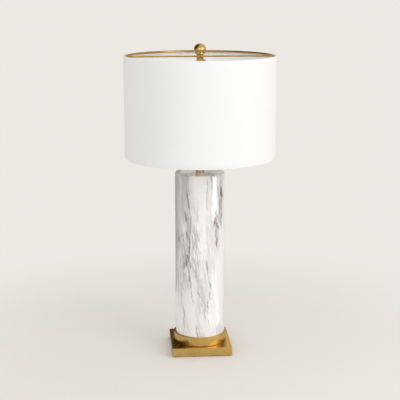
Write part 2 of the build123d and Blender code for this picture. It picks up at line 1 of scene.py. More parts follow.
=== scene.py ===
"""Dress a ceramic table lamp: finishes, shade cloth, felt and small metal details in a plain studio."""

import logging
import math
from collections.abc import Callable, Iterable, Sequence
from dataclasses import dataclass
from enum import Enum
from functools import partial, reduce
from typing import Any

import bmesh
import bpy
from bmesh.types import BMEdge, BMesh, BMVert
from bpy.types import Material, Node, NodeSocket, NodeTree, Object
from mathutils import Matrix, Vector


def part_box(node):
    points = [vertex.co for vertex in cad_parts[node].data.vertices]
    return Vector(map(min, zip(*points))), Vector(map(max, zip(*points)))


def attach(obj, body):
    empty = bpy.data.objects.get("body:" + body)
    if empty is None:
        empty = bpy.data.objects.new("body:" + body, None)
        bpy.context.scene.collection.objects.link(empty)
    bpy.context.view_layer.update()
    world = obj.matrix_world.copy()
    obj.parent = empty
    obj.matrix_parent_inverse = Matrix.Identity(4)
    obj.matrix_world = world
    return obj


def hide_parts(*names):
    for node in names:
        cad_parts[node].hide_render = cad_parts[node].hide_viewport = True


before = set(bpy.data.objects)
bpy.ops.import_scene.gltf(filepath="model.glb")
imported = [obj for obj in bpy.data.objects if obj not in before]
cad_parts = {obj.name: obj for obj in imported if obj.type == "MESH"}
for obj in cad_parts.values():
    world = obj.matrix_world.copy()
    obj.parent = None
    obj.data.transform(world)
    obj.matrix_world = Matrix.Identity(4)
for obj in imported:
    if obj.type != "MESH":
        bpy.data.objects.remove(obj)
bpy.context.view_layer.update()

LOG = logging.getLogger("table_lamp")
MM = 0.001
Z_AXIS = Vector((0.0, 0.0, 1.0))
SHARP_DEGREES = 40.0
SAME_PLACE = 1e-6
# Levels that most of a noise lies between.
NOISE = (0.3, 0.7)

Point = tuple[float, float, float]
Inputs = dict[str | int, Any] | Sequence[Any]
# Adds a node to one tree: add_node with its tree given.
Add = Callable[..., Node]


def linear(code: str) -> tuple[float, float, float, float]:
    """Turn an sRGB hex code into a linear colour.

    Args:
        code: six hex digits after a hash, such as "#C69C5B".

    Returns:
        Red, green, blue and an alpha of 1, in linear light.
    """
    parts = [int(code[i : i + 2], 16) / 255 for i in (1, 3, 5)]
    light = [c / 12.92 if c <= 0.04045 else ((c + 0.055) / 1.055) ** 2.4 for c in parts]
    return (light[0], light[1], light[2], 1.0)


def add_node(tree: NodeTree, kind: str, inputs: Inputs = (), **settings: Any) -> Node:
    """Add one node, with its settings, its constants and its links.

    Args:
        tree: node tree that takes the node.
        kind: Blender's name for the node type, after "ShaderNode".
        inputs: constants, or the nodes or sockets that feed the node, in order or by input name or number.
        settings: the node's own properties.

    Returns:
        The new node.
    """
    node = tree.nodes.new("ShaderNode" + kind)
    for name, value in settings.items():
        setattr(node, name, value)
    for key, value in inputs.items() if isinstance(inputs, dict) else enumerate(inputs):
        if isinstance(value, Node):
            value = next(output for output in value.outputs if output.enabled)
        if isinstance(value, NodeSocket):
            tree.links.new(value, node.inputs[key])
        else:
            node.inputs[key].default_value = value
    return node


def strongest(add: Add, shares: Iterable[Node]) -> Node:
    """Build the highest of several shares.

    Args:
        add: adds a node to the material.
        shares: nodes with one share each.

    Returns:
        A node with the highest share.
    """
    return reduce(lambda most, share: add("Math", (most, share), operation="MAXIMUM"), shares)


def in_view(add: Add) -> Node:
    """Build the share of rays that see the background, which are the camera's, mirrored or let through.

    Args:
        add: adds a node to the material or the world.

    Returns:
        A node with 1 or more for those rays, and 0 for light.
    """
    path = add("LightPath").outputs
    seen = add("Math", (path["Is Camera Ray"], path["Is Glossy Ray"]), operation="ADD")
    return add("Math", (seen, path["Is Transmission Ray"]), operation="ADD")


class Lights(Enum):
    """What a studio lamp lights."""

    ALL = "every surface"
    MATT = "matt surfaces alone"
    MIRRORS = "reflections alone"


class Grain(Enum):
    """Way that a brushed surface's lines run."""

    TURNED = "round the lamp's axis"
    STRAIGHT = "along each face of the plate"


@dataclass(frozen=True)
class Finish:
    """A surface that becomes one procedural material.

    Attributes:
        name: the real material and how its surface was made.
    """

    name: str

    def material(self) -> Material:
        """Make the finish's material, at the first call only.

        Returns:
            The material.
        """
        made = bpy.data.materials.get(self.name)
        if not made:
            made = bpy.data.materials.new(self.name)
            made.use_nodes = True
            made.node_tree.nodes.clear()
            add = partial(add_node, made.node_tree)
            add("OutputMaterial", {"Surface": self.surface(add)})
        return made

    def surface(self, add: Add) -> Node:
        """Build the shader nodes.

        Args:
            add: adds a node to the material.

        Returns:
            The shader.
        """
        raise NotImplementedError


@dataclass(frozen=True)
class BrushedBrass(Finish):
    """Brass brushed with fine grit and lacquered: soft highlights drawn out across the lines.

    Attributes:
        grain: way that the lines run.
        light: colour of the bright lines.
        dark: colour between them, where lacquer has warmed.
        edge: colour that it mirrors at a grazing angle.
        roughness: of the smoothest lines.
        line_mm: line spacing. Real lines are about 0.2 mm, drawn coarser so that they show.
        depth_mm: line depth.
        stretch: line spacing over line length.
        smear_mm: size of the lacquer's warm patches.
        anisotropy: how far the highlights are drawn out.
    """

    grain: Grain = Grain.TURNED
    light: str = "#D6B370"
    dark: str = "#BF9C59"
    edge: str = "#EFE2CF"
    roughness: float = 0.24
    line_mm: float = 0.9
    depth_mm: float = 0.12
    stretch: float = 0.03
    smear_mm: float = 36.0
    anisotropy: float = 0.5

    def surface(self, add: Add) -> Node:
        """Build lines along the grain that vary colour, roughness and height.

        Args:
            add: adds a node to the material.

        Returns:
            The shader.
        """
        place = add("TexCoord").outputs
        spot = place["Object"]
        if self.grain is Grain.TURNED:
            # Lines run round the axis, spaced by distance out and height.
            axes = add("SeparateXYZ", (spot,)).outputs
            flat = add("CombineXYZ", (axes["X"], axes["Y"]))
            out = add("VectorMath", (flat,), operation="LENGTH")
            across = add("Math", (out, axes["Z"]), operation="ADD")
            rise = add("CombineXYZ", {"Z": across})
            squeeze = (self.stretch, self.stretch, 0.0)
            lines = add("VectorMath", (flat, squeeze, rise), operation="MULTIPLY_ADD")
        else:
            # Faces at the sides are brushed from front to back, and the others from side to side.
            facing = add("SeparateXYZ", (place["Normal"],)).outputs
            side = add("Math", (facing["X"],), operation="ABSOLUTE")
            is_side = add("Math", (side, 0.7), operation="GREATER_THAN")
            ways = {4: (self.stretch, 1.0, 1.0), 5: (1.0, self.stretch, 1.0)}
            way = add("Mix", {0: is_side, **ways}, data_type="VECTOR")
            lines = add("VectorMath", (spot, way), operation="MULTIPLY")
        fine = 1 / (self.line_mm * MM)
        brushed = add("TexNoise", {"Vector": lines, "Scale": fine, "Detail": 4.0, "Roughness": 0.7})
        smear = add("TexNoise", {"Vector": spot, "Scale": 1 / (self.smear_mm * MM), "Detail": 3.0})
        shade = add("Math", (brushed, 0.7, smear), operation="MULTIPLY_ADD")
        share = add("MapRange", (shade, 0.6, 1.1))
        tint = add("Mix", {0: share, 6: linear(self.dark), 7: linear(self.light)}, data_type="RGBA")
        rough = add("MapRange", (shade, 0.55, 1.15, self.roughness + 0.1, self.roughness))
        bump = add("Bump", {"Height": brushed, "Strength": 0.12, "Distance": self.depth_mm * MM})
        return add(
            "BsdfPrincipled",
            {
                "Base Color": tint,
                "Metallic": 1.0,
                "Roughness": rough,
                "Specular Tint": linear(self.edge),
                "Anisotropic": self.anisotropy,
                "Normal": bump,
            },
        )


@dataclass(frozen=True)
class PlainMetal(Finish):
    """Metal with a fine even surface, from polished brass to sand-cast iron, by its roughness and pitting.

    Attributes:
        light: colour of the clean metal.
        dark: colour of its duller patches.
        roughness: of the clean metal.
        pit_mm: size of its pits or grains. Real ones are finer, drawn coarser so that they show.
        pit_depth_mm: depth of the pits.
        patch_mm: size of the patches.
        thread_mm: pitch of a screw thread round the lamp's axis, or 0.
        metallic: 1 for bare metal, less under paint or rust.
    """

    light: str = "#D9B468"
    dark: str = "#C49A4F"
    roughness: float = 0.14
    pit_mm: float = 1.5
    pit_depth_mm: float = 0.01
    patch_mm: float = 17.0
    thread_mm: float = 0.0
    metallic: float = 1.0

    def surface(self, add: Add) -> Node:
        """Build pits that vary colour, roughness and height, and a thread where there is one.

        Args:
            add: adds a node to the material.

        Returns:
            The shader.
        """
        spot = add("TexCoord").outputs["Object"]
        grit = 1 / (self.pit_mm * MM)
        pits = add("TexNoise", {"Vector": spot, "Scale": grit, "Detail": 3.0, "Roughness": 0.6})
        patches = add("TexNoise", {"Vector": spot, "Scale": 1 / (self.patch_mm * MM), "Detail": 3.0})
        share = add("MapRange", (patches, 0.35, 0.65))
        tint = add("Mix", {0: share, 6: linear(self.dark), 7: linear(self.light)}, data_type="RGBA")
        rough = add("MapRange", (pits, *NOISE, self.roughness + 0.08, self.roughness))
        bump = add("Bump", {"Height": pits, "Strength": 0.5, "Distance": self.pit_depth_mm * MM})
        if self.thread_mm:
            pitch = self.thread_mm * MM
            axes = add("SeparateXYZ", (spot,)).outputs
            turn = add("Math", (axes["Y"], axes["X"]), operation="ARCTAN2")
            climb = add("Math", (axes["Z"], 2 * math.pi / pitch, turn), operation="MULTIPLY_ADD")
            ridge = add("Math", (climb,), operation="SINE")
            bump = add("Bump", {"Height": ridge, "Strength": 1.0, "Distance": 0.2 * pitch, "Normal": bump})
        inputs = {"Base Color": tint, "Metallic": self.metallic, "Roughness": rough, "Normal": bump}
        return add("BsdfPrincipled", inputs)


@dataclass(frozen=True)
class Vein:
    """One vein on the column's unrolled surface, in millimetres.

    Attributes:
        place: distance round from the front, towards +X, at the vein's middle.
        low: height of its lower end.
        high: height of its upper end.
        lean: distance round for each millimetre up.
        width: half its width.
        strength: how dark it is, up to 1.
    """

    place: float
    low: float
    high: float
    lean: float
    width: float
    strength: float


@dataclass(frozen=True)
class HairVeins:
    """One set of fine veins all over the column.

    Attributes:
        apart_mm: distance from one to the next.
        share: how much of that distance they fill, about.
        lean: distance round for each millimetre up.
        strength: how dark they are, up to 1.
    """

    apart_mm: float
    share: float
    lean: float
    strength: float


@dataclass(frozen=True)
class MarbledGlaze(Finish):
    """Glazed stoneware with a marble pattern under a clear gloss: sharp reflections over soft grey veins.

    Attributes:
        radius_mm: column radius, for distances round it.
        cracks: main veins, given one by one.
        grey_clouds_and_painted_shade: soft grey areas, given one by one: those on the left are painted shade
            and a painted dark reflection, those over the top face painted shade from the lampshade above, and
            the others marble clouds.
        nets: areas where the fine veins crowd, given one by one.
        clears_and_painted_light: areas of plain white ground, given one by one, two of them painted light.
        rusts: warm veins, given one by one.
        hairs: sets of fine veins.
        white: colour of the ground.
        grey_and_painted_shade: colour of the soft grey areas, both marble clouds and painted shade.
        hair: colour of the fine veins.
        crack: colour of the main veins.
        rust: colour of the few warm ones.
        firm: share of a vein's length, about its middle, that doesn't fade.
        sway_mm: length of a vein's bends.
        sway_reach_mm: most that a vein bends, from side to side.
        break_mm: size of the spots where a vein fades.
        crowd_mm: width of the bands where fine veins crowd.
        crowd_lean: distance round for each millimetre up along those bands.
        mist_mm: width of the streaks in the grey areas.
        mist: grey that the fine veins bring with them.
        drawn_out: width of the fine pattern over its length.
        peel_mm: size of the ripples in the glaze.
        peel_depth_mm: their depth.
        gloss: roughness, from where it is smoothest to where it is dullest.
        ior: refractive index.
    """

    radius_mm: float
    cracks: tuple[Vein, ...]
    grey_clouds_and_painted_shade: tuple[Vein, ...]
    nets: tuple[Vein, ...]
    clears_and_painted_light: tuple[Vein, ...]
    rusts: tuple[Vein, ...]
    hairs: tuple[HairVeins, ...]
    white: str = "#EDEBE9"
    grey_and_painted_shade: str = "#ABAAA9"
    hair: str = "#807E7C"
    crack: str = "#3E3C3C"
    rust: str = "#6A4E34"
    firm: float = 0.45
    sway_mm: float = 22.2
    sway_reach_mm: float = 13.0
    break_mm: float = 9.1
    crowd_mm: float = 33.3
    crowd_lean: float = -0.1
    mist_mm: float = 16.7
    mist: float = 0.2
    drawn_out: float = 0.13
    peel_mm: float = 6.0
    peel_depth_mm: float = 0.2
    gloss: tuple[float, float] = (0.06, 0.12)
    ior: float = 1.52

    def laid(self, add: Add) -> Node:
        """Lay the pattern up the wall and, over the top face, straight back from the front edge.

        Args:
            add: adds a node to the material.

        Returns:
            A node with the place in the pattern.
        """
        place = add("TexCoord").outputs
        facing = add("SeparateXYZ", (place["Normal"],)).outputs
        on_top = add("Math", (facing["Z"], 0.5), operation="GREATER_THAN")
        axes = add("SeparateXYZ", (place["Object"],)).outputs
        square = add("Math", (axes["X"], axes["X"]), operation="MULTIPLY")
        rest = add("Math", ((self.radius_mm * MM) ** 2, square), operation="SUBTRACT")
        edge = add("Math", (rest,), operation="SQRT")
        behind = add("Math", (axes["Y"], edge), operation="ADD")
        shift = add("Math", (behind, on_top), operation="MULTIPLY")
        return add("VectorMath", (shift, (0.0, -1.0, 1.0), place["Object"]), operation="MULTIPLY_ADD")

    def drawn(self, add: Add, spot: Node, lean: float) -> Node:
        """Draw the pattern's ground out upwards and twist it, so that what is made on it leans.

        Args:
            add: adds a node to the material.
            spot: place in the pattern.
            lean: distance round for each millimetre up.

        Returns:
            A node with the place on the drawn ground.
        """
        high = add("SeparateXYZ", (spot,)).outputs["Z"]
        twist = add("Math", (high, -lean / (self.radius_mm * MM)), operation="MULTIPLY")
        twisted = add("VectorRotate", {"Vector": spot, "Angle": twist}, rotation_type="Z_AXIS")
        return add("VectorMath", (twisted, (1.0, 1.0, self.drawn_out)), operation="MULTIPLY")

    def marked(self, add: Add, vein: Vein, round_mm: Node, high_mm: Node) -> Node:
        """Build one vein, which fades towards its sides and its ends.

        Args:
            add: adds a node to the material.
            vein: the vein.
            round_mm: distance round the column.
            high_mm: height on the column.

        Returns:
            A node with 0 off the vein and its strength on it.
        """
        middle, half = (vein.low + vein.high) / 2, (vein.high - vein.low) / 2
        line = add("Math", (high_mm, -vein.lean, vein.lean * middle - vein.place), operation="MULTIPLY_ADD")
        beside = add("Math", (line, round_mm), operation="ADD")
        off = add("Math", (beside,), operation="ABSOLUTE")
        core = add("MapRange", (off, 0.0, vein.width, vein.strength, 0.0), interpolation_type="SMOOTHSTEP")
        above = add("Math", (high_mm, middle), operation="SUBTRACT")
        away = add("Math", (above,), operation="ABSOLUTE")
        ends = add("MapRange", (away, self.firm * half, half, 1.0, 0.0), interpolation_type="SMOOTHSTEP")
        return add("Math", (core, ends), operation="MULTIPLY")

    def ridges(self, add: Add, hair: HairVeins, spot: Node) -> Node:
        """Build one set of fine veins along the edges of drawn-out cells.

        Args:
            add: adds a node to the material.
            hair: the set.
            spot: place in the pattern.

        Returns:
            A node with 0 off the veins and their strength on them.
        """
        ground, apart = self.drawn(add, spot, hair.lean), hair.apart_mm * MM
        # Noise half as coarse as the cells bends their edges, so that no vein is straight.
        wander = add("TexNoise", {"Vector": ground, "Scale": 2 / apart, "Detail": 2.0, "Roughness": 0.5})
        bent = (wander.outputs["Color"], (0.7 * apart,) * 3, ground)
        cells = add(
            "TexVoronoi",
            {"Vector": add("VectorMath", bent, operation="MULTIPLY_ADD"), "Scale": 1 / apart},
            feature="DISTANCE_TO_EDGE",
        )
        return add("MapRange", (cells, 0.0, hair.share, hair.strength, 0.0))

    def surface(self, add: Add) -> Node:
        """Build grey clouds with painted shade, fine veins that lean along the column, and the listed veins.

        Args:
            add: adds a node to the material.

        Returns:
            The shader.
        """
        spot = self.laid(add)
        axes = add("SeparateXYZ", (spot,)).outputs
        depth = add("Math", (axes["Y"], -1.0), operation="MULTIPLY")
        turn = add("Math", (axes["X"], depth), operation="ARCTAN2")
        high = add("Math", (axes["Z"], 1 / MM), operation="MULTIPLY")
        # Veins wander by 2 or 3 mm about their line.
        bends = 1 / (self.sway_mm * MM)
        sway = add("TexNoise", {"Vector": spot, "Scale": bends, "Detail": 4.0, "Roughness": 0.6})
        swayed = add("Math", (sway, self.sway_reach_mm, -self.sway_reach_mm / 2), operation="MULTIPLY_ADD")
        placed = add("Math", (turn, self.radius_mm, swayed), operation="MULTIPLY_ADD")
        crack, rust, grey_and_painted_shade, net, clear = (
            strongest(add, (self.marked(add, vein, placed, high) for vein in veins))
            for veins in (self.cracks, self.rusts, self.grey_clouds_and_painted_shade, self.nets, self.clears_and_painted_light)
        )
        # Veins fade and darken along their length, over about 20 mm.
        long = add("VectorMath", (spot, (1.0, 1.0, 0.4)), operation="MULTIPLY")
        spots = 1 / (self.break_mm * MM)
        broken = add("TexNoise", {"Vector": long, "Scale": spots, "Detail": 3.0, "Roughness": 0.6})
        breaks = add("MapRange", (broken, 0.36, 0.58, 0.4, 1.0))
        cracked, rusted = (add("Math", (share, breaks), operation="MULTIPLY") for share in (crack, rust))
        # Fine veins crowd in some bands and in the nets, and keep off the clear areas, two of which are
        # painted light.
        upward = self.drawn(add, spot, self.crowd_lean)
        crowd = add("TexNoise", {"Vector": upward, "Scale": 1 / (self.crowd_mm * MM), "Detail": 2.0})
        crowds = add("MapRange", (crowd, 0.42, 0.68, 0.06, 0.5))
        crowded = add("Math", (crowds, net), operation="MAXIMUM")
        left = add("Math", (1.0, clear), operation="SUBTRACT")
        density = add("Math", (crowded, left), operation="MULTIPLY")
        fine = strongest(add, (self.ridges(add, hair, spot) for hair in self.hairs))
        haired = add("Math", (fine, density), operation="MULTIPLY")
        # Grey areas, marble clouds and painted shade alike, are streaked, and dull the gloss a little.
        streaks = add("TexNoise", {"Vector": upward, "Scale": 1 / (self.mist_mm * MM), "Detail": 3.0})
        streaked = add("MapRange", (streaks, *NOISE, 0.5, 1.0))
        veil = add("Math", (density, self.mist, grey_and_painted_shade), operation="MULTIPLY_ADD")
        clouded_and_shaded = add("Math", (streaked, veil), operation="MULTIPLY", use_clamp=True)
        rough = add("MapRange", (streaks, *NOISE, *self.gloss))
        colour: Any = linear(self.white)
        layers = ((clouded_and_shaded, self.grey_and_painted_shade), (haired, self.hair), (rusted, self.rust), (cracked, self.crack))
        for share, code in layers:
            colour = add("Mix", {0: share, 6: colour, 7: linear(code)}, data_type="RGBA")
        peel = add("TexNoise", {"Vector": spot, "Scale": 1 / (self.peel_mm * MM), "Detail": 1.0})
        bump = add("Bump", {"Height": peel, "Strength": 0.15, "Distance": self.peel_depth_mm * MM})
        inputs = {"Base Color": colour, "Roughness": rough, "IOR": self.ior, "Normal": bump}
        return add("BsdfPrincipled", inputs)


@dataclass(frozen=True)
class ShadeCloth(Finish):
    """Plain-woven white cotton and polyester: matte, with a faint sheen, and it lets some light through.

    Attributes:
        warp: colour of the upright threads.
        weft: colour of the threads round the shade.
        thread_mm: thread spacing. Real threads are about 0.4 mm apart, drawn coarser so that they show.
        thread_depth_mm: depth of the weave.
        slub_mm: length and width of the thick spots in the weft, drawn coarser too.
        through: share of the light that passes.
    """

    warp: str = "#F6F6F5"
    weft: str = "#F0F0EE"
    thread_mm: float = 0.9
    thread_depth_mm: float = 0.15
    slub_mm: tuple[float, float] = (33.0, 1.4)
    through: float = 0.1

    def surface(self, add: Add) -> Node:
        """Build a plain weave on the cloth's own map, with slubs along the weft.

        Args:
            add: adds a node to the material.

        Returns:
            The shader.
        """
        cloth = add("UVMap", uv_map="cut")
        axes = add("SeparateXYZ", (cloth,)).outputs
        threads = math.pi / (self.thread_mm * MM)
        turns = [add("Math", (axes[axis], threads), operation="MULTIPLY") for axis in ("X", "Y")]
        waves = [add("Math", (turn,), operation="SINE") for turn in turns]
        over = add("Math", (add("Math", waves, operation="MULTIPLY"), 0.0), operation="GREATER_THAN")
        crowns = [add("Math", (wave,), operation="ABSOLUTE") for wave in waves]
        height = add("Mix", {0: over, 2: crowns[0], 3: crowns[1]}, data_type="FLOAT")
        long, wide = (1 / (size * MM) for size in self.slub_mm)
        slub_map = add("VectorMath", (cloth, (long, wide, 1.0)), operation="MULTIPLY")
        slubs = add("TexNoise", {"Vector": slub_map, "Scale": 1.0, "Detail": 2.0})
        share = add("Math", (height, 0.35, slubs), operation="MULTIPLY_ADD")
        tint = add("Mix", {0: share, 6: linear(self.weft), 7: linear(self.warp)}, data_type="RGBA")
        bump = add("Bump", {"Height": share, "Strength": 0.25, "Distance": self.thread_depth_mm * MM})
        woven = add(
            "BsdfPrincipled",
            {
                "Base Color": tint,
                "Roughness": 0.9,
                "Specular IOR Level": 0.2,
                "Sheen Weight": 0.15,
                "Sheen Roughness": 0.5,
                "Normal": bump,
            },
        )
        return add("MixShader", (self.through, woven, add("BsdfTranslucent", {"Color": tint})))


@dataclass(frozen=True)
class Moulded(Finish):
    """Moulded plastic, rubber or fibre: even colour, a fine surface texture and soft highlights.

    Attributes:
        colour: main colour.
        worn: colour of its rubbed or dusty patches.
        roughness: of the clean surface.
        texture_mm: size of the mould's texture, drawn coarser than it is so that it shows.
        texture_depth_mm: its depth.
        patch_mm: size of the patches.
        through: share of the light that passes, in a milky plastic.
        ior: refractive index.
    """

    colour: str = "#1B1B1B"
    worn: str = "#2A2928"
    roughness: float = 0.42
    texture_mm: float = 0.6
    texture_depth_mm: float = 0.02
    patch_mm: float = 14.0
    through: float = 0.0
    ior: float = 1.5

    def surface(self, add: Add) -> Node:
        """Build a fine texture, slow colour patches, and light passed through where it is milky.

        Args:
            add: adds a node to the material.

        Returns:
            The shader.
        """
        spot = add("TexCoord").outputs["Object"]
        fine = add("TexNoise", {"Vector": spot, "Scale": 1 / (self.texture_mm * MM), "Detail": 2.0})
        patches = add("TexNoise", {"Vector": spot, "Scale": 1 / (self.patch_mm * MM), "Detail": 4.0})
        share = add("MapRange", (patches, 0.35, 0.7))
        tint = add("Mix", {0: share, 6: linear(self.colour), 7: linear(self.worn)}, data_type="RGBA")
        rough = add("MapRange", (fine, *NOISE, self.roughness, self.roughness + 0.1))
        bump = add("Bump", {"Height": fine, "Strength": 0.4, "Distance": self.texture_depth_mm * MM})
        inputs = {"Base Color": tint, "Roughness": rough, "IOR": self.ior, "Normal": bump}
        skin = add("BsdfPrincipled", inputs)
        if not self.through:
            return skin
        return add("MixShader", (self.through, skin, add("BsdfTranslucent", {"Color": tint})))


@dataclass(frozen=True)
class Felt(Finish):
    """Pressed wool felt: tangled fibres, quite matte, with a soft sheen at the edge.

    Attributes:
        deep: colour between the fibres.
        fibre: colour of the raised fibres.
        fibre_mm: fibre spacing. Real fibres are finer, drawn coarser so that they show.
        depth_mm: depth of the tangle.
    """

    deep: str = "#1E2723"
    fibre: str = "#36443C"
    fibre_mm: float = 0.8
    depth_mm: float = 0.3

    def surface(self, add: Add) -> Node:
        """Build tangled fibres from warped noise.

        Args:
            add: adds a node to the material.

        Returns:
            The shader.
        """
        spot = add("TexCoord").outputs["Object"]
        fibres = {"Scale": 1 / (self.fibre_mm * MM), "Detail": 6.0, "Roughness": 0.75, "Distortion": 1.5}
        tangle = add("TexNoise", {"Vector": spot, **fibres})
        share = add("MapRange", (tangle, 0.35, 0.65))
        tint = add("Mix", {0: share, 6: linear(self.deep), 7: linear(self.fibre)}, data_type="RGBA")
        bump = add("Bump", {"Height": tangle, "Strength": 0.8, "Distance": self.depth_mm * MM})
        return add(
            "BsdfPrincipled",
            {
                "Base Color": tint,
                "Roughness": 0.95,
                "Specular IOR Level": 0.2,
                "Sheen Weight": 0.3,
                "Sheen Roughness": 0.6,
                "Normal": bump,
            },
        )


@dataclass(frozen=True)
class FloorPaint(Finish):
    """Matt rolled paint on the studio's floor, which fades into the background's colour away from the lamp.

    Attributes:
        colour: the paint.
        far: the background's colour.
        fade: where the fade starts and ends, in metres from the lamp's axis.
    """

    colour: str
    far: str
    fade: tuple[float, float]

    def surface(self, add: Add) -> Node:
        """Build the paint, and the background's colour that the camera and reflections see further out.

        Args:
            add: adds a node to the material.

        Returns:
            The shader.
        """
        away = add("VectorMath", (add("TexCoord").outputs["Object"],), operation="LENGTH")
        faded = add("MapRange", (away, *self.fade), interpolation_type="SMOOTHSTEP")
        share = add("Math", (faded, in_view(add)), operation="MULTIPLY")
        matt = {"Base Color": linear(self.colour), "Roughness": 1.0, "Specular IOR Level": 0.0}
        wall = add("Emission", {"Color": linear(self.far)})
        return add("MixShader", (share, add("BsdfPrincipled", matt), wall))


# Fine lines round the axis draw soft highlights out up and down.
TURNED_BRASS = BrushedBrass("brass, turned and brushed")
# The same, buffed finer: the ball mirrors the studio, a little blurred.
BALL_BRASS = BrushedBrass("brass, turned and polished", light="#DAB981", dark="#C8A465", roughness=0.18)
# Straight lines along each face leave an even sheen.
PLATE_BRASS = BrushedBrass("brass plate, belt brushed", grain=Grain.STRAIGHT, anisotropy=0.0, roughness=0.22)
# Darker and smoother, with a narrow highlight along the rod.
DRAWN_BRASS = BrushedBrass(
    "brass rod, drawn and lacquered",
    light="#C6A062",
    dark="#AB854C",
    roughness=0.2,
    line_mm=1.6,
    anisotropy=0.2,
)
# Clear warm reflections, with faint dull patches.
BRIGHT_BRASS = PlainMetal("brass sheet, spun and polished")
# Nearly black and grainy, with a dull gleam.
IRON = PlainMetal(
    "iron, sand cast",
    light="#3C3B3C",
    dark="#2B2A2A",
    roughness=0.6,
    pit_mm=0.9,
    pit_depth_mm=0.25,
    metallic=0.8,
)
# Cool light grey with soft reflections, and fine ribs where it is threaded.
ZINC_STEEL = PlainMetal("steel, zinc plated", light="#BDBDB8", dark="#A3A39D", roughness=0.3)
PIPE_STEEL = PlainMetal(
    "steel pipe, zinc plated and threaded", light="#BDBDB8", dark="#A3A39D", roughness=0.3, thread_mm=0.94
)
# Paler and brighter than zinc.
ALUMINIUM = PlainMetal("aluminium sheet, drawn", light="#D2D2D0", dark="#B9B9B7", roughness=0.22)
